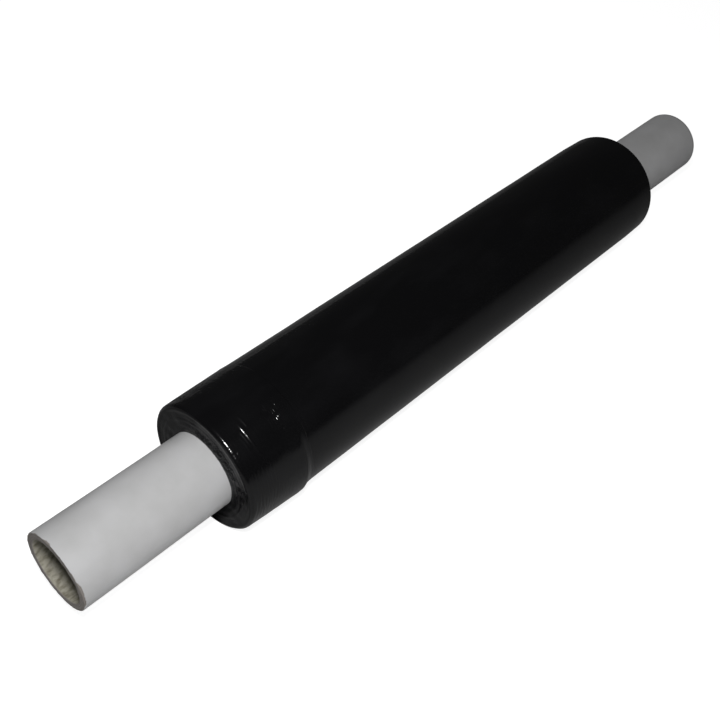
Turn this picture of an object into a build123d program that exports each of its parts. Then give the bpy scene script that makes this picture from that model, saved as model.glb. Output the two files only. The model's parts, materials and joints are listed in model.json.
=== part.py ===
from build123d import *
import math
import os

# A hand roll of stretch film, wound on a long paperboard tube whose two bare
# ends are the handles. It lies on its side on the floor, z = 0.
#
#   X  along the tube; the slack tail band is at the -X end
#   Z  up
#   origin  on the floor, under the middle of the tube

# Tube, millimetres
bore_d = 38.0            # the usual inch and a half bore
core_wall = 4.5          # wound paperboard
core_length = 590.0
core_rim_r = 0.4         # wear on the four rims of the cut ends

# Film wound on the tube
film_width = 400.0       # the width the film is slit to
side_wander = 1.0        # how far the turns wander past that width, each side
roll_d = 80.6            # over the turns
tail_rim_r = 2.6         # soft rim at the tail band's end
plain_rim_r = 2.0        # rim at the other end
flat_width = 14.0        # flat that the roll's weight presses along its underside

# Tail band: the last turns, gathered slack round the -X end
band_width = 45.0        # along the roll, out to where it meets the turns
band_edge = 8.0          # the part of that width over which it falls to the turns
band_rise = 0.95         # crest above the turns, mean round the roll
band_pinch = 0.3         # how far its outer rim is drawn in below the turns
band_hang = 0.75         # how far the slack crest hangs off the tube's axis
band_hang_deg = 124.0    # the side it hangs to, from straight up towards -Y

# Sizes and places that follow
core_r = bore_d / 2 + core_wall
roll_r = roll_d / 2
wound_width = film_width + 2 * side_wander
axis_height = math.sqrt(roll_r**2 - (flat_width / 2) ** 2)
tube_start_x = -core_length / 2
tail_face_x = -wound_width / 2
plain_face_x = wound_width / 2
band_crest_x = tail_face_x + band_width - band_edge
band_end_x = tail_face_x + band_width


def disc(x, radius, hang=0.0):
    """A disc square to the tube's axis at x, its centre hung off that axis."""
    lean = math.radians(band_hang_deg)
    centre = (x, -hang * math.sin(lean), axis_height + hang * math.cos(lean))
    return Plane(origin=centre, x_dir=(0, 1, 0), z_dir=(1, 0, 0)) * Circle(radius)


def rod(start_x, length, radius):
    """A rod on the tube's axis, from start_x towards +X."""
    return extrude(disc(start_x, radius), amount=length)


def make_core_tube():
    """The paperboard tube: square-cut, with lightly worn rims."""
    tube = rod(tube_start_x, core_length, core_r) - rod(tube_start_x, core_length, bore_d / 2)
    ends = tube.edges().group_by(Axis.X)
    return fillet(ends[0] + ends[-1], core_rim_r)


def make_film_roll():
    """All the turns as one solid: the tail band, soft rims and the flat underneath."""
    turns = loft(
        [
            disc(tail_face_x, roll_r - band_pinch),
            disc(band_crest_x, roll_r + band_rise, band_hang),
            disc(band_end_x, roll_r),
            disc(plain_face_x, roll_r),
        ],
        ruled=True,
    )
    rims = turns.edges().group_by(Axis.X)
    turns = fillet(rims[0], tail_rim_r)
    turns = fillet(turns.edges().group_by(Axis.X)[-1], plain_rim_r)
    under_floor = Pos(0, 0, -roll_r) * Box(2 * core_length, 4 * roll_r, 2 * roll_r)
    return turns - rod(tail_face_x, wound_width, core_r) - under_floor


os.makedirs("parts", exist_ok=True)
export_step(make_core_tube(), "parts/core_tube.step")
export_step(make_film_roll(), "parts/film_roll.step")
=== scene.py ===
"""Looks of a hand roll of black stretch film on a pale paperboard tube.

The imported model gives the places. Angles go round the tube from straight up towards -Y,
the front. Small sizes are written in millimetres times MM.
"""
import json
import logging
import math
from collections.abc import Iterable
from dataclasses import dataclass, field
from enum import Enum

import bmesh
import bpy
import numpy as np
from mathutils import Matrix, Vector


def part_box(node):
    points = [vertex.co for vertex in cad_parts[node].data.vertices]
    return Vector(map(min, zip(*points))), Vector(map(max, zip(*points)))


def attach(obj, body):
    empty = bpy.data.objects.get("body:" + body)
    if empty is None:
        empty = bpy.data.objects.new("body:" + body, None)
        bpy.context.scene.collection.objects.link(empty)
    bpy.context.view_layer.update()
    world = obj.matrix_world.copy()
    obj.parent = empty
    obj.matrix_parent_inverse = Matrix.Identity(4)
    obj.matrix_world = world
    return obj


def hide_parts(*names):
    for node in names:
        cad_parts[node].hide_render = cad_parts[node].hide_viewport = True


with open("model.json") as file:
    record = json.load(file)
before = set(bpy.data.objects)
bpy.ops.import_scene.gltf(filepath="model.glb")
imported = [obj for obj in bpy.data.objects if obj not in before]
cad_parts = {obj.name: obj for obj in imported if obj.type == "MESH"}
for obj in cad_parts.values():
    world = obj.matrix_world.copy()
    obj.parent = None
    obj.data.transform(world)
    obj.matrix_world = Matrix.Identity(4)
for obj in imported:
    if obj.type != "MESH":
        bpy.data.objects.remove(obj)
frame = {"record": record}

MM = 0.001
TURN = 2 * math.pi
LOG = logging.getLogger("stretch_wrap_roll")
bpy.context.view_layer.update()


class Slot(Enum):
    """The record's material slots."""

    BOARD = "paperboard"
    FILM = "black_film"


class Finish(Enum):
    """Which of the film's finishes a row of faces takes."""

    OUTSIDE = 0
    EDGES = 1


# ---------------------------------------------------------------- surfaces


def smooth_step(value: np.ndarray, start: float, end: float) -> np.ndarray:
    """A smooth rise from 0 at start to 1 at end.

    Args:
        value: where to measure it.
        start: the value at which it is 0.
        end: the value at which it is 1.

    Returns:
        The rise at each value.
    """
    share = np.clip((value - start) / (end - start), 0, 1)
    return share * share * (3 - 2 * share)


def hump(value: np.ndarray, width: float) -> np.ndarray:
    """A smooth hump, 1 where the value is 0 and about 0.6 a width away.

    Args:
        value: where to measure it.
        width: its half width.

    Returns:
        The hump at each value.
    """
    return np.exp(-0.5 * (value / width) ** 2)


def off_angle(angle: np.ndarray, middle: float) -> np.ndarray:
    """How far angles are from another one, the short way round.

    Args:
        angle: the angles, in radians.
        middle: the other angle, in degrees.

    Returns:
        The differences, in radians.
    """
    return np.angle(np.exp(1j * (angle - math.radians(middle))))


@dataclass(frozen=True)
class Crinkle:
    """A seeded, smooth, random relief that closes on itself round the roll.

    Attributes:
        seed: the random seed.
        pitch: shortest and longest wave along the surface, in metres.
        slant: steepest lean of a wave from the tube's direction, in degrees; 90 is any lean.
        radius: radius of the surface that the waves run on, in metres.
        waves: how many waves are added up.
    """

    seed: int
    pitch: tuple[float, float]
    slant: float = 90.0
    radius: float = 40.3 * MM
    waves: int = 28

    def at(self, along: np.ndarray, angle: np.ndarray) -> np.ndarray:
        """The relief, mostly between -1 and 1.

        Args:
            along: distance along the tube, in metres.
            angle: angle round the tube, in radians.

        Returns:
            The relief at each point.
        """
        rng = np.random.default_rng(self.seed)
        total = np.zeros(np.broadcast(along, angle).shape)
        for _ in range(self.waves):
            length = math.exp(rng.uniform(math.log(self.pitch[0]), math.log(self.pitch[1])))
            lean = math.radians(rng.uniform(-self.slant, self.slant))
            step = TURN / length
            rounds = round(step * math.sin(lean) * self.radius)
            phase = rng.uniform(0, TURN)
            total += np.cos(step * math.cos(lean) * along + rounds * angle + phase)
        return total / math.sqrt(self.waves)


@dataclass(frozen=True)
class Pucker:
    """A small patch of creased film.

    Attributes:
        along: its middle along the tube, in metres.
        angle: its middle round the tube, in degrees.
        spread: its half sizes along and round the tube, in metres.
        height: how high its creases stand, in metres.
        crease: the relief of its creases.
    """

    along: float
    angle: float
    spread: tuple[float, float]
    height: float
    crease: Crinkle

    def at(self, along: np.ndarray, angle: np.ndarray) -> np.ndarray:
        """The patch's height at each point, in metres.

        Args:
            along: distance along the tube, or out from it on an end face, in metres.
            angle: angle round the tube, in radians.

        Returns:
            The height at each point.
        """
        turned = off_angle(angle, self.angle) * self.crease.radius
        patch = hump(along - self.along, self.spread[0]) * hump(turned, self.spread[1])
        return self.height * patch * (1 - 2 * np.abs(self.crease.at(along, angle)))


@dataclass(frozen=True)
class Ridge:
    """One crease that runs round part of the roll.

    Attributes:
        along: its distance along the tube, in metres.
        start: the angle at which it starts, in degrees.
        end: the angle at which it ends, in degrees.
        height: its height, in metres.
        width: its half width, in metres.
        sway: how far it sways along the tube, in metres.
        sway_turn: half of the angle over which it sways once to each side, in degrees.
    """

    along: float
    start: float
    end: float
    height: float
    width: float
    sway: float = 0.5 * MM
    sway_turn: float = 40.0

    def at(self, along: np.ndarray, angle: np.ndarray) -> np.ndarray:
        """The crease's height at each point, in metres.

        Args:
            along: distance along the tube, in metres.
            angle: angle round the tube, in radians.

        Returns:
            The height at each point.
        """
        turned = np.degrees(off_angle(angle, (self.start + self.end) / 2))
        half = (self.end - self.start) / 2
        reach = 1 - smooth_step(np.abs(turned), 0.55 * half, half)
        sway = self.sway * np.sin(turned * math.pi / self.sway_turn)
        return self.height * reach * hump(along - self.along - sway, self.width)


def ring_mesh(name: str, along: np.ndarray, out: np.ndarray, hub: float,
              finish_of_row: list[int]) -> bpy.types.Object:
    """A closed ring of quads round the tube, from a closed loop of rows.

    Args:
        name: the object's name.
        along: each row's distance along the tube at each angle, in metres.
        out: each row's distance out from the hub at each angle, in metres.
        hub: height of the hub above the floor, in metres.
        finish_of_row: index of the finish that each row of faces takes.

    Returns:
        The new object.
    """
    rows, columns = along.shape
    angle = np.arange(columns) * TURN / columns
    points = np.empty((rows, columns, 3))
    points[..., 0] = along
    points[..., 1] = -out * np.sin(angle)
    points[..., 2] = np.maximum(hub + out * np.cos(angle), 0)
    first = np.arange(rows * columns).reshape(rows, columns)
    quads = np.stack(
        [first, np.roll(first, -1, 1), np.roll(np.roll(first, -1, 0), -1, 1), np.roll(first, -1, 0)], -1
    ).reshape(-1, 4)
    mesh = bpy.data.meshes.new(name)
    mesh.from_pydata(points.reshape(-1, 3).tolist(), [], quads.tolist())
    mesh.polygons.foreach_set("material_index", np.repeat(finish_of_row, columns))
    work = bmesh.new()
    work.from_mesh(mesh)
    bmesh.ops.recalc_face_normals(work, faces=work.faces)
    work.to_mesh(mesh)
    work.free()
    mesh.shade_smooth()
    piece = bpy.data.objects.new(name, mesh)
    bpy.context.scene.collection.objects.link(piece)
    return piece


# ---------------------------------------------------------------- finishes


class Nodes:
    """A short way to write a material's nodes."""

    def __init__(self, name: str) -> None:
        """Starts an empty material with that name."""
        self.material = bpy.data.materials.new(name)
        self.material.use_nodes = True
        self.tree = self.material.node_tree
        self.tree.nodes.clear()

    def add(self, kind: str, **sockets: object) -> bpy.types.Node:
        """Adds a node.

        Args:
            kind: the node's type name, without its ShaderNode prefix.
            sockets: values or sockets for its inputs, with _ for a space, or its own settings.

        Returns:
            The new node.
        """
        node = self.tree.nodes.new("ShaderNode" + kind)
        for key, value in sockets.items():
            name = key.replace("_", " ")
            if hasattr(node, key) and name not in node.inputs:
                setattr(node, key, value)
            else:
                self.fill([(node.inputs[name], value)])
        return node

    def math(self, operation: str, *values: object) -> bpy.types.NodeSocket:
        """One sum on numbers or sockets.

        Args:
            operation: the Math node's operation.
            values: its values or sockets, in order.

        Returns:
            The result's socket.
        """
        node = self.tree.nodes.new("ShaderNodeMath")
        node.operation = operation
        self.fill(zip(node.inputs, values))
        return node.outputs[0]

    def fill(self, pairs: Iterable[tuple[bpy.types.NodeSocket, object]]) -> None:
        """Sets inputs to values, or connects them to sockets.

        Args:
            pairs: each input with its value or socket.
        """
        for socket, value in pairs:
            if isinstance(value, bpy.types.NodeSocket):
                self.tree.links.new(value, socket)
            else:
                socket.default_value = value

    def noise(self, cells: tuple[float, float, float], detail: float) -> bpy.types.NodeSocket:
        """A noise from 0 to 1 that is fixed to the object.

        Args:
            cells: how many of its cells there are in a metre of X, Y and Z.
            detail: how many finer noises are added.

        Returns:
            The noise's socket.
        """
        place = self.add("Mapping", Vector=self.add("TexCoord").outputs["Object"], Scale=cells)
        return self.add("TexNoise", Vector=place.outputs[0], Scale=1.0, Detail=detail).outputs[0]

    def rings(self, out: bpy.types.NodeSocket, cells: float, detail: float) -> bpy.types.NodeSocket:
        """A noise from 0 to 1 that changes only outwards from the tube's middle line.

        Args:
            out: the distance out from that line, in metres.
            cells: how many of its cells there are in a metre.
            detail: how many finer noises are added.

        Returns:
            The noise's socket.
        """
        place = self.math("MULTIPLY", out, cells)
        return self.add("TexNoise", noise_dimensions="1D", W=place, Scale=1.0, Detail=detail).outputs[0]

    def blend(self, share: object, first: object, second: object) -> bpy.types.NodeSocket:
        """A colour between two others.

        Args:
            share: 0 for the first, 1 for the second.
            first: the first colour or socket.
            second: the second colour or socket.

        Returns:
            The blended colour's socket.
        """
        node = self.tree.nodes.new("ShaderNodeMix")
        node.data_type = "RGBA"
        self.fill(((node.inputs[0], share), (node.inputs[6], first), (node.inputs[7], second)))
        return node.outputs[2]

    def band(self, value: bpy.types.NodeSocket, low: float, high: float) -> bpy.types.NodeSocket:
        """A value stretched so that low becomes 0 and high becomes 1, and held there.

        Args:
            value: the value's socket.
            low: what becomes 0.
            high: what becomes 1.

        Returns:
            The stretched value's socket.
        """
        node = self.add("MapRange", Value=value)
        node.inputs["From Min"].default_value = low
        node.inputs["From Max"].default_value = high
        return node.outputs[0]

    def radius(self, hub: float) -> bpy.types.NodeSocket:
        """The distance out from the tube's middle line, in metres.

        Args:
            hub: height of that line above the floor, in metres.

        Returns:
            The distance's socket.
        """
        parts = self.add("SeparateXYZ", Vector=self.add("TexCoord").outputs["Object"])
        up = self.math("SUBTRACT", parts.outputs["Z"], hub)
        side = parts.outputs["Y"]
        square = self.math("ADD", self.math("MULTIPLY", side, side), self.math("MULTIPLY", up, up))
        return self.math("SQRT", square)

    def finish(self, shader: bpy.types.Node) -> bpy.types.Material:
        """Connects the last shader to the material.

        Args:
            shader: the last shader.

        Returns:
            The material.
        """
        output = self.add("OutputMaterial")
        self.tree.links.new(shader.outputs[0], output.inputs["Surface"])
        return self.material


@dataclass(frozen=True)
class GlossyFilm:
    """The film's outside: black and glossy, with faint clouds, stretch lines and dust.

    Attributes:
        colour: its colour.
        bloom: its colour in the cloudy patches.
        smooth: its roughness where the clouds are thinnest.
        dull: its roughness where they are thickest.
        cloud_cells: cells of the clouds in a metre of X, Y and Z.
        line_cells: cells of the stretch lines, which run round the roll.
        grain_cells: cells of the dust.
        line_depth: depth of lines and dust, in metres.
    """

    colour: tuple[float, float, float, float] = (0.0030, 0.0030, 0.0034, 1)
    bloom: tuple[float, float, float, float] = (0.0050, 0.0050, 0.0056, 1)
    smooth: float = 0.10
    dull: float = 0.22
    cloud_cells: tuple[float, float, float] = (25, 60, 60)
    line_cells: tuple[float, float, float] = (900, 25, 25)
    grain_cells: tuple[float, float, float] = (260, 260, 260)
    line_depth: float = 0.02 * MM

    def material(self) -> bpy.types.Material:
        """Makes the material.

        Returns:
            The material.
        """
        nodes = Nodes("glossy_black_film")
        cloud = nodes.noise(self.cloud_cells, 4)
        lines = nodes.math("MULTIPLY", nodes.noise(self.line_cells, 3), 0.7)
        grain = nodes.math("MULTIPLY", nodes.noise(self.grain_cells, 4), 0.5)
        relief = nodes.math("ADD", lines, grain)
        bump = nodes.add("Bump", Height=relief, Distance=self.line_depth, Strength=0.35)
        shader = nodes.add(
            "BsdfPrincipled",
            Base_Color=nodes.blend(nodes.band(cloud, 0.45, 0.75), self.colour, self.bloom),
            Roughness=nodes.math("MULTIPLY_ADD", cloud, self.dull - self.smooth, self.smooth),
            IOR=1.5,
            Normal=bump.outputs[0],
        )
        return nodes.finish(shader)


@dataclass(frozen=True)
class TurnEdges:
    """The film's end faces: the edges of many thin turns, dull black with rings.

    Attributes:
        colour: their colour.
        pale: their colour on the palest rings.
        rough: their roughness.
        gloss: strength of their reflections, where 0.5 is plain plastic.
        ring_cells: cells of the rings in a metre out from the tube's middle line.
        patch_cells: cells of the patches in a metre of X, Y and Z.
        ring_depth: depth of rings and patches, in metres.
    """

    colour: tuple[float, float, float, float] = (0.0034, 0.0034, 0.0040, 1)
    pale: tuple[float, float, float, float] = (0.0060, 0.0060, 0.0078, 1)
    rough: float = 0.22
    gloss: float = 0.16
    ring_cells: float = 1800
    patch_cells: tuple[float, float, float] = (160, 160, 160)
    ring_depth: float = 0.035 * MM

    def material(self, hub: float) -> bpy.types.Material:
        """Makes the material.

        Args:
            hub: height of the tube's middle line, in metres.

        Returns:
            The material.
        """
        nodes = Nodes("edges_of_film_turns")
        rings = nodes.rings(nodes.radius(hub), self.ring_cells, 4)
        patches = nodes.noise(self.patch_cells, 3)
        relief = nodes.math("ADD", rings, nodes.math("MULTIPLY", patches, 0.8))
        bump = nodes.add("Bump", Height=relief, Distance=self.ring_depth, Strength=0.5)
        tint = nodes.math("MULTIPLY", nodes.band(rings, 0.45, 0.8), nodes.band(patches, 0.35, 0.7))
        shader = nodes.add(
            "BsdfPrincipled",
            Base_Color=nodes.blend(tint, self.colour, self.pale),
            Roughness=self.rough,
            IOR=1.5,
            Specular_IOR_Level=self.gloss,
            Normal=bump.outputs[0],
        )
        return nodes.finish(shader)


@dataclass(frozen=True)
class TubeBoard:
    """The tube: a pale smooth outer ply over grey-brown board, with a stained bore.

    Attributes:
        wrap: the outer ply's colour.
        wrap_dim: its colour where it is dimmest.
        board: the cut board's colour.
        board_dark: its colour on the darkest plies.
        bore: the bore's colour.
        stain: its colour in the stains.
        rough: roughness of it all.
        mottle_cells: cells of the outer ply's mottle in a metre of X, Y and Z.
        fibre_cells: cells of the fibres.
        stain_cells: cells of the stains.
        ply_cells: cells of the plies in a metre out from the tube's middle line.
        fibre_depth: depth of the fibres, in metres.
    """

    wrap: tuple[float, float, float, float] = (0.50, 0.50, 0.505, 1)
    wrap_dim: tuple[float, float, float, float] = (0.44, 0.44, 0.44, 1)
    board: tuple[float, float, float, float] = (0.27, 0.25, 0.235, 1)
    board_dark: tuple[float, float, float, float] = (0.19, 0.17, 0.155, 1)
    bore: tuple[float, float, float, float] = (0.33, 0.315, 0.26, 1)
    stain: tuple[float, float, float, float] = (0.13, 0.115, 0.08, 1)
    rough: float = 0.72
    mottle_cells: tuple[float, float, float] = (45, 45, 45)
    fibre_cells: tuple[float, float, float] = (700, 1500, 1500)
    stain_cells: tuple[float, float, float] = (210, 420, 420)
    ply_cells: float = 2600
    fibre_depth: float = 0.05 * MM

    def material(self, hub: float, bore_radius: float, wrap_radius: float) -> bpy.types.Material:
        """Makes the material of the whole tube.

        Args:
            hub: height of the tube's middle line, in metres.
            bore_radius: radius of the bore, in metres.
            wrap_radius: radius under the outer ply, in metres.

        Returns:
            The material.
        """
        nodes = Nodes("wound_paperboard")
        out = nodes.radius(hub)
        mottle = nodes.band(nodes.noise(self.mottle_cells, 4), 0.35, 0.7)
        plies = nodes.band(nodes.rings(out, self.ply_cells, 2), 0.35, 0.65)
        stains = nodes.band(nodes.noise(self.stain_cells, 5), 0.44, 0.72)
        outside = nodes.blend(mottle, self.wrap, self.wrap_dim)
        section = nodes.blend(plies, self.board, self.board_dark)
        inside = nodes.blend(stains, self.bore, self.stain)
        in_wrap = nodes.band(out, wrap_radius - 0.03 * MM, wrap_radius + 0.03 * MM)
        in_wall = nodes.band(out, bore_radius + 0.02 * MM, bore_radius + 0.1 * MM)
        fibre = nodes.noise(self.fibre_cells, 3)
        bump = nodes.add("Bump", Height=fibre, Distance=self.fibre_depth, Strength=0.4)
        shader = nodes.add(
            "BsdfPrincipled",
            Base_Color=nodes.blend(in_wall, inside, nodes.blend(in_wrap, section, outside)),
            Roughness=self.rough,
            IOR=1.4,
            Normal=bump.outputs[0],
        )
        return nodes.finish(shader)


# ---------------------------------------------------------------- pieces


@dataclass
class CoreTube:
    """The paperboard tube, its cut ends and the ragged edge of its outer ply.

    Attributes:
        columns: points round the tube.
        rim: rounding of its cut rims, in metres.
        ply: thickness of the outer ply, in metres.
        ragged: how far the outer ply stops short of the cut end at most, in metres.
        ragged_mean: the share of that at which it stops on average.
        tear: how much long tears add to that share.
        fray: how much short frays add to it.
        crumb: mean depth of the crumbled board in the near cut face, in metres.
        wear: unevenness of the outside, in metres.
        sunk: how far the outside lies inside its packed size, in metres.
        lining: unevenness of the bore, in metres.
        gap: distance from a cut end to the first row beyond its rim, in metres.
        fringe: length of close rows beyond the near rim, in metres.
        bare: distance from a cut end to where the rows may be far apart, in metres.
        seen: depth of close rows in the near end of the bore, in metres.
    """

    columns: int = 288
    rim: float = 0.35 * MM
    ply: float = 0.35 * MM
    ragged: float = 1.5 * MM
    ragged_mean: float = 0.28
    tear: float = 0.42
    fray: float = 0.12
    crumb: float = 0.09 * MM
    wear: float = 0.03 * MM
    sunk: float = 0.066 * MM
    lining: float = 0.05 * MM
    gap: float = 0.5 * MM
    fringe: float = 6 * MM
    bare: float = 96.5 * MM
    seen: float = 95.5 * MM
    bore_radius: float = field(init=False)
    radius: float = field(init=False)
    hub: float = field(init=False)
    ends: tuple[float, float] = field(init=False)

    def __post_init__(self) -> None:
        """Reads the tube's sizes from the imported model."""
        low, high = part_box("core_tube")
        bore = next(mount for mount in frame["record"]["mounts"] if mount["name"] == "core_bore")
        self.bore_radius = bore["dims"]["r_mm"] * MM
        self.hub = bore["pos_m"][2]
        self.radius = (high[1] - low[1]) / 2
        self.ends = (low[0], high[0])

    def rows(self) -> np.ndarray:
        """The loop of the tube's section: the near face, the outside, the far face and the bore.

        Returns:
            Each row's places along and out from the tube, in metres.
        """
        near, far = self.ends
        bore, wall = self.bore_radius, self.radius
        fringe = near + self.gap + self.fringe
        near_bare, far_bare = near + self.bare, far - self.bare
        return np.vstack([
            np.linspace((near, bore + self.rim), (near, wall - self.rim), 15),
            [(near + self.rim, wall)],
            np.linspace((near + self.gap, wall), (fringe, wall), 30, endpoint=False),
            np.linspace((fringe, wall), (near_bare, wall), 30, endpoint=False),
            np.linspace((near_bare, wall), (far_bare, wall), 8, endpoint=False),
            np.linspace((far_bare, wall), (far - self.gap, wall), 41),
            np.linspace((far, wall - self.rim), (far, bore + self.rim), 9),
            np.linspace((far - self.gap, bore), (near + self.seen, bore), 40, endpoint=False),
            np.linspace((near + self.seen, bore), (near + self.gap, bore), 61),
        ])

    def ply_edge(self, angle: np.ndarray) -> np.ndarray:
        """Where the outer ply's torn edge is at the near end.

        Args:
            angle: angle round the tube, in radians.

        Returns:
            Its distance along the tube at each angle, in metres.
        """
        tears = Crinkle(11, (9 * MM, 45 * MM), 90, self.radius, 14).at(np.zeros(1), angle)
        frays = Crinkle(12, (2 * MM, 6 * MM), 90, self.radius, 14).at(np.zeros(1), angle)
        share = np.clip(self.ragged_mean + self.tear * tears + self.fray * frays, 0, 1)
        return self.ends[0] + self.ragged * share

    def build(self) -> bpy.types.Object:
        """Builds the tube and gives it its finish.

        Returns:
            The tube.
        """
        rows = self.rows()
        angle = np.arange(self.columns) * TURN / self.columns
        along = np.repeat(rows[:, :1], self.columns, 1)
        out = np.repeat(rows[:, 1:], self.columns, 1)
        on_face = along <= self.ends[0] + 0.01 * MM
        in_ply = (out > self.radius - 0.6 * MM) & (along < 0)
        stripped = 1 - smooth_step(along - self.ply_edge(angle), -0.12 * MM, 0.12 * MM)
        out = np.where(in_ply, np.minimum(out, self.radius - self.ply * stripped), out)
        crumbs = Crinkle(13, (1.2 * MM, 5 * MM), 90, self.radius, 24).at(out, angle)
        along = along + np.where(on_face, self.crumb * (1 + crumbs), 0)
        worn = Crinkle(14, (15 * MM, 70 * MM), 90, self.radius, 18).at(along, angle)
        out = out + np.where(out > self.radius - 0.5 * MM, self.wear * worn - self.sunk, 0)
        in_bore = out < self.bore_radius + 0.01 * MM
        torn = Crinkle(15, (4 * MM, 20 * MM), 90, self.bore_radius, 24).at(along, angle)
        out = out - np.where(in_bore, self.lining * (1 + torn), 0)
        tube = ring_mesh("paperboard_tube", along, out, self.hub, [0] * len(rows))
        tube.data.materials.append(TubeBoard().material(self.hub, self.bore_radius, self.radius - self.ply))
        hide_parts("core_tube")
        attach(tube, "root")
        return tube


@dataclass
class Rows:
    """The loop of rows that a piece of film is made from.

    Attributes:
        angle: angle round the tube of each point of a row, in radians.
        along: each row's distance along the tube, in metres.
        out: each row's distance out from the tube's middle line, in metres.
        finish: index of each row's finish.
    """

    angle: np.ndarray
    along: list[np.ndarray] = field(default_factory=list)
    out: list[np.ndarray] = field(default_factory=list)
    finish: list[int] = field(default_factory=list)

    def add(self, along: float | np.ndarray, out: float | np.ndarray, finish: Finish) -> None:
        """Adds a row.

        Args:
            along: its distance along the tube, in metres.
            out: its distance out from the tube's middle line, in metres.
            finish: its finish.
        """
        self.along.append(along + 0 * self.angle)
        self.out.append(out + 0 * self.angle)
        self.finish.append(finish.value)

    def add_rim(self, end: float, rim: float, count: int) -> None:
        """Adds the rows of a rounded rim, from the last row to an end face.

        Args:
            end: the end face's distance along the tube, in metres.
            rim: the rounding's radius, in metres; below 0 at the far end.
            count: how many rows it has.
        """
        shoulder = self.out[-1]
        for step in range(1, count + 1):
            bend = step / count * math.pi / 2
            reach = shoulder - abs(rim) * (1 - math.cos(bend))
            finish = Finish.OUTSIDE if step < 0.75 * count else Finish.EDGES
            self.add(end + rim * (1 - math.sin(bend)), reach, finish)


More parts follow.
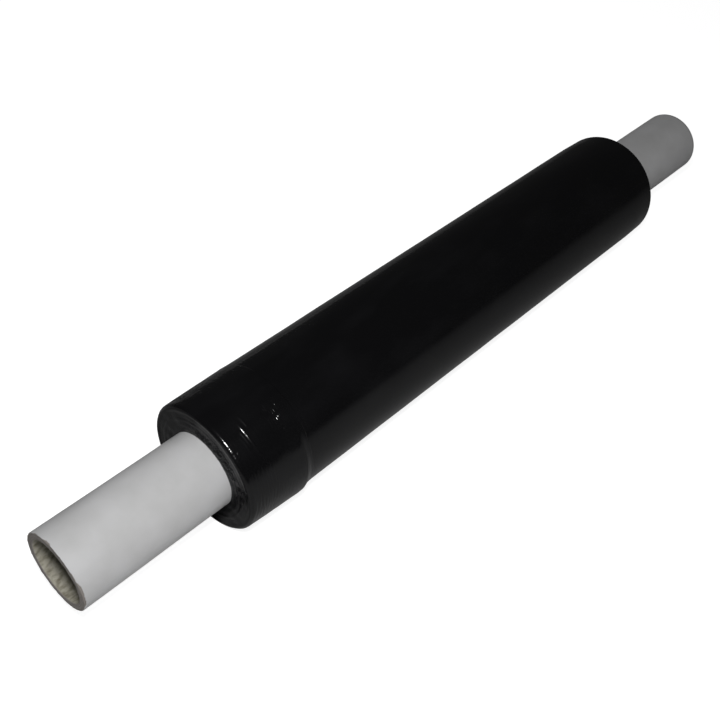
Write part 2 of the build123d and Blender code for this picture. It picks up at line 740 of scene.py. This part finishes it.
@dataclass
class WoundFilm:
    """The turns of film, and the slack band of its tail round the near end.

    Attributes:
        tube: the tube that it is wound on.
        radius: over the turns, in metres.
        band_width: how far the band reaches along the roll, in metres.
        band_fall: the part of that width over which it falls to the turns, in metres.
        band_rise: its crest above the turns, mean round the roll, in metres.
        band_pinch: how far its rim is drawn in below the turns, in metres.
        band_hang: how far its crest hangs off the tube's middle line, in metres.
        band_side: the side that it hangs to, in degrees.
        band_lip: how far its edge stands on the turns, in metres.
        band_wander: how far its edge wanders along the roll, in metres.
        near_rim: rounding of the band's rim, in metres.
        far_rim: rounding of the other rim, in metres.
        covered: how far the turns under the band lie inside the others, in metres.
        lap: how far the band's inside clears the turns that it covers, in metres.
        parting: distance from the near end to the hidden wall between the two pieces, in metres.
        mouth: length over which the covered turns come up under the band's edge, in metres.
        band_columns: points round the band.
        turn_columns: points round the turns.
    """

    tube: CoreTube
    radius: float = 40.3 * MM
    band_width: float = 45 * MM
    band_fall: float = 8 * MM
    band_rise: float = 0.95 * MM
    band_pinch: float = 0.3 * MM
    band_hang: float = 0.75 * MM
    band_side: float = 124.0
    band_lip: float = 0.15 * MM
    band_wander: float = 0.5 * MM
    near_rim: float = 2.6 * MM
    far_rim: float = 2.0 * MM
    covered: float = 0.9 * MM
    lap: float = 0.2 * MM
    parting: float = 28 * MM
    mouth: float = 3 * MM
    band_columns: int = 620
    turn_columns: int = 330
    near: float = field(init=False)
    far: float = field(init=False)
    edge: float = field(init=False)

    def __post_init__(self) -> None:
        """Reads the film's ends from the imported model."""
        low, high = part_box("film_roll")
        self.near, self.far = low[0], high[0]
        self.edge = self.near + self.band_width

    def puckers(self) -> list[Pucker]:
        """The creased patches of the band.

        Returns:
            The patches: four small bright ones, one on the rim, and two wide ones over the top.
        """
        near, edge = self.near, self.edge
        fine = (1.3 * MM, 3.2 * MM)
        long = (1.6 * MM, 3.2 * MM)
        return [
            Pucker(edge - 11 * MM, 41, (1.5 * MM, 4.2 * MM), 0.24 * MM, Crinkle(21, long, 35)),
            Pucker(edge - 15 * MM, 32, (1.8 * MM, 4.5 * MM), 0.16 * MM, Crinkle(22, fine, 30)),
            Pucker(edge - 7 * MM, 33, (1.3 * MM, 2.5 * MM), 0.18 * MM, Crinkle(23, fine, 60)),
            Pucker(near + 22 * MM, 49, (0.9 * MM, 1.0 * MM), 0.16 * MM, Crinkle(24, fine, 60)),
            Pucker(near + 3.5 * MM, 44, (1.6 * MM, 4.0 * MM), 0.13 * MM, Crinkle(25, fine, 70)),
            Pucker(near + 14 * MM, -36, (14 * MM, 5.0 * MM), 0.10 * MM, Crinkle(27, fine, 80)),
            Pucker(near + 60 * MM, -38, (30 * MM, 4.0 * MM), 0.05 * MM, Crinkle(28, fine, 80)),
        ]

    def ridges(self) -> list[Ridge]:
        """The long creases of the band.

        Returns:
            The creases: four beside each other on the front, then those beside its edge.
        """
        near, edge = self.near, self.edge
        return [
            Ridge(near + 14.2 * MM, 22, 62, 0.36 * MM, 0.42 * MM),
            Ridge(near + 12.2 * MM, 30, 48, 0.26 * MM, 0.40 * MM),
            Ridge(near + 17.0 * MM, 20, 33, 0.26 * MM, 0.40 * MM),
            Ridge(near + 10.4 * MM, 33, 52, 0.18 * MM, 0.45 * MM),
            Ridge(edge - 4.8 * MM, 62, 178, 0.17 * MM, 0.36 * MM),
            Ridge(edge - 3.5 * MM, 70, 172, 0.12 * MM, 0.32 * MM),
            Ridge(edge - 3.5 * MM, -90, -25, 0.16 * MM, 0.8 * MM),
        ]

    def band_relief(self, along: np.ndarray, angle: np.ndarray) -> np.ndarray:
        """Slack, lines and creases of the band.

        Args:
            along: distance along the tube, in metres.
            angle: angle round the tube, in radians.

        Returns:
            The relief at each point, in metres.
        """
        slack = Crinkle(31, (9 * MM, 40 * MM), 90).at(along, angle)
        lines = Crinkle(32, (1.0 * MM, 3.0 * MM), 9).at(along, angle)
        grain = Crinkle(33, (1.5 * MM, 4 * MM), 60).at(along, angle)
        front = hump(off_angle(angle, 95), 0.55)
        gather = 1 - smooth_step(along, self.near + 14 * MM, self.near + 24 * MM)
        relief = 0.05 * MM * slack + 0.075 * MM * lines * (0.12 + front * gather) + 0.012 * MM * grain
        for crease in self.ridges() + self.puckers():
            relief += crease.at(along, angle)
        return relief

    def band_radius(self, along: np.ndarray, angle: np.ndarray) -> np.ndarray:
        """The band's outside, without its relief.

        Args:
            along: distance along the tube, in metres.
            angle: angle round the tube, in radians.

        Returns:
            The distance out from the tube's middle line at each point, in metres.
        """
        crest = self.edge - self.band_fall
        slack = np.clip((along - self.near) / (crest - self.near), 0, 1)
        fallen = smooth_step(along, crest + 1.5 * MM, self.edge)
        swell = slack * (1 - fallen)
        mean = self.radius - self.band_pinch * (1 - slack) + self.band_rise * swell + self.band_lip * fallen
        return mean + self.band_hang * swell * np.cos(angle - math.radians(self.band_side))

    def face_relief(self, out: np.ndarray, angle: np.ndarray, seed: int) -> np.ndarray:
        """How far an end face is pushed in from its plane.

        Args:
            out: distance out from the tube's middle line, in metres.
            angle: angle round the tube, in radians.
            seed: the random seed.

        Returns:
            The depth at each point, in metres.
        """
        steps = Crinkle(seed, (0.9 * MM, 5 * MM), 1).at(out, 0 * angle)
        waves = Crinkle(seed + 1, (6 * MM, 26 * MM), 90, 32 * MM).at(out, angle)
        crisp = Crinkle(seed + 2, (1.4 * MM, 3.0 * MM), 80, 32 * MM).at(out, angle)
        return MM * (0.30 + 0.06 * steps + 0.09 * waves + 0.025 * crisp)

    def face_puckers(self) -> list[Pucker]:
        """Crinkled edges of turns on the near end face, two patches and two grains.

        Returns:
            The patches, with their distances out from the tube's middle line as their places.
        """
        fine, middle = (1.2 * MM, 2.6 * MM), 30 * MM
        patch, grain = 8 * MM, (1.2 * MM, 1.4 * MM)
        return [
            Pucker(29.0 * MM, 41, (2.2 * MM, patch), 0.75 * MM, Crinkle(41, fine, 80, middle)),
            Pucker(27.0 * MM, 18, (1.6 * MM, patch), 0.45 * MM, Crinkle(42, fine, 80, middle)),
            Pucker(31.0 * MM, 79, grain, 0.80 * MM, Crinkle(43, fine, 80, middle)),
            Pucker(31.5 * MM, 92, grain, 0.80 * MM, Crinkle(44, fine, 80, middle)),
        ]

    def turn_relief(self, along: np.ndarray, angle: np.ndarray) -> np.ndarray:
        """Faint waves and lines of the tight turns, which sink a little towards the far end.

        Args:
            along: distance along the tube, in metres.
            angle: angle round the tube, in radians.

        Returns:
            The relief at each point, in metres.
        """
        waves = Crinkle(81, (25 * MM, 90 * MM), 70).at(along, angle)
        lines = Crinkle(82, (3 * MM, 9 * MM), 12).at(along, angle)
        combed = Crinkle(83, (2.8 * MM, 5 * MM), 4).at(along, angle)
        flank = hump(off_angle(angle, 82), 0.3) * hump(along - self.near - 63 * MM, 6 * MM)
        sunk = smooth_step(along, self.far - 22 * MM, self.far)
        dimple = Crinkle(26, (3 * MM, 6 * MM), 50)
        pucker = Pucker(self.near + 123 * MM, 35, (2.5 * MM, 4 * MM), 0.075 * MM, dimple)
        relief = 0.035 * MM * waves + 0.008 * MM * lines + 0.03 * MM * flank * combed - 0.5 * MM * sunk
        return relief + pucker.at(along, angle)

    def build_band(self, finishes: list[bpy.types.Material]) -> bpy.types.Object:
        """Builds the slack band with the near end face.

        Args:
            finishes: the film's outside, and its turn edges.

        Returns:
            The band.
        """
        angle = np.arange(self.band_columns) * TURN / self.band_columns
        rows = Rows(angle)
        edge_waves = Crinkle(51, (30 * MM, 120 * MM), 90, self.radius, 10)
        wander = self.band_wander * edge_waves.at(np.zeros(1), angle)
        for share in np.linspace(0, 1, 104):
            place = self.edge + (self.near + self.near_rim - self.edge) * share
            place = place + wander * (1 - smooth_step(np.full(1, share), 0, 0.5))
            rows.add(place, self.band_radius(place, angle) + self.band_relief(place, angle), Finish.OUTSIDE)
        rows.add_rim(self.near, self.near_rim, 8)
        rim, floor = rows.out[-1], self.tube.radius
        for step in range(1, 31):
            reach = rim + (floor - rim) * step / 30
            dent = self.face_relief(reach, angle, 61)
            dent = dent + sum(pucker.at(reach, angle) for pucker in self.face_puckers())
            rows.add(self.near + min(1.0, step / 4) * np.maximum(dent, 0), reach, Finish.EDGES)
        under, back = self.radius - self.covered + self.lap, self.near + self.parting
        for place, reach in ((back, floor), (back, under), (self.edge - self.mouth, under)):
            rows.add(place, reach, Finish.EDGES)
        rows.add(self.edge - 0.2 * MM + wander, self.radius - 0.05 * MM, Finish.OUTSIDE)
        return self.dress("slack_tail_band", rows, finishes)

    def build_turns(self, finishes: list[bpy.types.Material]) -> bpy.types.Object:
        """Builds the wound turns beyond the band, with the far end face.

        Args:
            finishes: the film's outside, and its turn edges.

        Returns:
            The turns.
        """
        angle = np.arange(self.turn_columns) * TURN / self.turn_columns
        rows = Rows(angle)
        hidden, back = self.radius - self.covered, self.near + self.parting + self.lap
        for place, reach in (
            (back, self.tube.radius), (back, hidden), (self.edge - self.mouth - 2 * self.lap, hidden)
        ):
            rows.add(place, reach, Finish.EDGES)
        for place in np.linspace(self.edge - 0.6 * MM, self.far - self.far_rim, 262):
            rows.add(place, self.radius + self.turn_relief(place + 0 * angle, angle), Finish.OUTSIDE)
        rows.add_rim(self.far, -self.far_rim, 6)
        rim, floor = rows.out[-1], self.tube.radius
        for step in range(1, 25):
            reach = rim + (floor - rim) * step / 24
            dent = self.face_relief(reach, angle, 71)
            rows.add(self.far - min(1.0, step / 4) * np.maximum(dent, 0), reach, Finish.EDGES)
        return self.dress("wound_turns", rows, finishes)

    def dress(self, name: str, rows: Rows, finishes: list[bpy.types.Material]) -> bpy.types.Object:
        """Makes a piece of film from its rows and finishes it.

        Args:
            name: the piece's name.
            rows: its rows.
            finishes: the film's outside, and its turn edges.

        Returns:
            The piece.
        """
        piece = ring_mesh(name, np.array(rows.along), np.array(rows.out), self.tube.hub, rows.finish)
        for material in finishes:
            piece.data.materials.append(material)
        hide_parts("film_roll")
        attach(piece, "root")
        return piece

    def build(self) -> list[bpy.types.Object]:
        """Builds both pieces of film.

        Returns:
            The band and the turns.
        """
        finishes = [GlossyFilm().material(), TurnEdges().material(self.tube.hub)]
        return [self.build_band(finishes), self.build_turns(finishes)]


# ---------------------------------------------------------------- studio


@dataclass(frozen=True)
class Lamp:
    """A soft round lamp that shines at a point.

    Attributes:
        name: its name.
        place: where it is, in metres.
        aim: where it shines, in metres.
        size: its diameter, in metres.
        power: its power, in watts.
        mirrored: whether glossy surfaces show it.
    """

    name: str
    place: tuple[float, float, float]
    aim: tuple[float, float, float]
    size: float
    power: float
    mirrored: bool = True

    def build(self) -> None:
        """Adds the lamp to the scene."""
        light = bpy.data.lights.new(self.name, "AREA")
        light.shape = "DISK"
        light.size = self.size
        light.energy = self.power
        lamp = bpy.data.objects.new(self.name, light)
        lamp.location = self.place
        shine = Vector(self.aim) - Vector(self.place)
        lamp.rotation_euler = shine.to_track_quat("-Z", "Y").to_euler()
        lamp.visible_glossy = self.mirrored
        bpy.context.scene.collection.objects.link(lamp)


@dataclass
class Studio:
    """The white floor, the lamps, the sky and the camera.

    Attributes:
        eye: where the camera is, in metres.
        look: the direction in which it looks.
        lens: its focal length, in millimetres.
        sensor: width of its sensor, in millimetres.
        floor_size: width of the floor, in metres.
        floor_glow: how much the floor glows to the camera.
        floor_seen: whiteness of the floor to the camera, which shows its shadows.
        floor_white: whiteness of the floor as it lights the roll.
        floor_mirror: whiteness of the floor as glossy film mirrors it.
        sky_fill: strength of the sky as it lights the roll.
        sky_mirror: strength of the sky as glossy film mirrors it.
        lamps: the key lamp over the near end, and a low one behind the roll.
    """

    eye: tuple[float, float, float] = (-0.4146, -0.3158, 0.4402)
    look: tuple[float, float, float] = (0.5535, 0.5145, -0.6550)
    lens: float = 49.92
    sensor: float = 36.0
    floor_size: float = 8.0
    floor_glow: float = 0.90
    floor_seen: float = 0.5
    floor_white: float = 0.75
    floor_mirror: float = 0.27
    sky_fill: float = 0.07
    sky_mirror: float = 0.03
    lamps: tuple[Lamp, ...] = (
        Lamp("key_lamp", (-0.37, -0.27, 0.53), (-0.05, 0.0, 0.04), 0.10, 3.2),
        Lamp("back_lamp", (0.55, 1.30, 0.26), (0.0, 0.0, 0.05), 0.4, 3.0, False),
    )

    def camera(self) -> None:
        """Adds the camera, level from side to side."""
        data = bpy.data.cameras.new("camera")
        data.lens, data.sensor_width = self.lens, self.sensor
        camera = bpy.data.objects.new("camera", data)
        ahead = Vector(self.look).normalized()
        right = ahead.cross(Vector((0, 0, 1))).normalized()
        up = right.cross(ahead)
        turn = Matrix((right, up, -ahead)).transposed().to_4x4()
        camera.matrix_world = Matrix.Translation(self.eye) @ turn
        bpy.context.scene.collection.objects.link(camera)
        bpy.context.scene.camera = camera

    def floor(self) -> None:
        """Adds the floor, which glows white where the camera sees it and keeps shadows."""
        nodes = Nodes("white_floor")
        white, mirror, seen = ((share, share, share, 1)
                               for share in (self.floor_white, self.floor_mirror, self.floor_seen))
        path = nodes.add("LightPath")
        plain = nodes.add("BsdfDiffuse", Color=nodes.blend(path.outputs["Is Glossy Ray"], white, mirror))
        shaded = nodes.add("BsdfDiffuse", Color=seen)
        glow = nodes.add("Emission", Color=(1, 1, 1, 1), Strength=self.floor_glow)
        bright = nodes.add("AddShader")
        nodes.tree.links.new(shaded.outputs[0], bright.inputs[0])
        nodes.tree.links.new(glow.outputs[0], bright.inputs[1])
        pick = nodes.add("MixShader", Fac=path.outputs["Is Camera Ray"])
        nodes.tree.links.new(plain.outputs[0], pick.inputs[1])
        nodes.tree.links.new(bright.outputs[0], pick.inputs[2])
        half = self.floor_size / 2
        mesh = bpy.data.meshes.new("studio_floor")
        corners = [(-half, -half, 0), (half, -half, 0), (half, half, 0), (-half, half, 0)]
        mesh.from_pydata(corners, [], [(0, 1, 2, 3)])
        mesh.materials.append(nodes.finish(pick))
        floor = bpy.data.objects.new("studio_floor", mesh)
        bpy.context.scene.collection.objects.link(floor)

    def sky(self) -> None:
        """Sets a white sky for the camera and a dim one for everything else."""
        world = bpy.data.worlds.new("studio_sky")
        world.use_nodes = True
        tree = world.node_tree
        tree.nodes.clear()
        path = tree.nodes.new("ShaderNodeLightPath")
        back = tree.nodes.new("ShaderNodeBackground")
        output = tree.nodes.new("ShaderNodeOutputWorld")
        mirror = tree.nodes.new("ShaderNodeMix")
        mirror.inputs[2].default_value = self.sky_fill
        mirror.inputs[3].default_value = self.sky_mirror
        seen = tree.nodes.new("ShaderNodeMix")
        seen.inputs[3].default_value = 1.0
        tree.links.new(path.outputs["Is Glossy Ray"], mirror.inputs[0])
        tree.links.new(path.outputs["Is Camera Ray"], seen.inputs[0])
        tree.links.new(mirror.outputs[0], seen.inputs[2])
        tree.links.new(seen.outputs[0], back.inputs["Strength"])
        tree.links.new(back.outputs[0], output.inputs["Surface"])
        back.inputs["Color"].default_value = (1, 1, 1, 1)
        bpy.context.scene.world = world

    def build(self) -> None:
        """Builds the whole studio."""
        self.camera()
        self.floor()
        self.sky()
        for lamp in self.lamps:
            lamp.build()
        bpy.context.scene.view_settings.view_transform = "Standard"


def main() -> None:
    """Builds the roll and its studio."""
    logging.basicConfig(level=logging.INFO, format="%(message)s")
    Studio().build()
    tube = CoreTube()
    pieces = [tube.build()] + WoundFilm(tube).build()
    for piece in pieces:
        LOG.info("%s: %d faces", piece.name, len(piece.data.polygons))


if __name__ == "__main__":
    main()
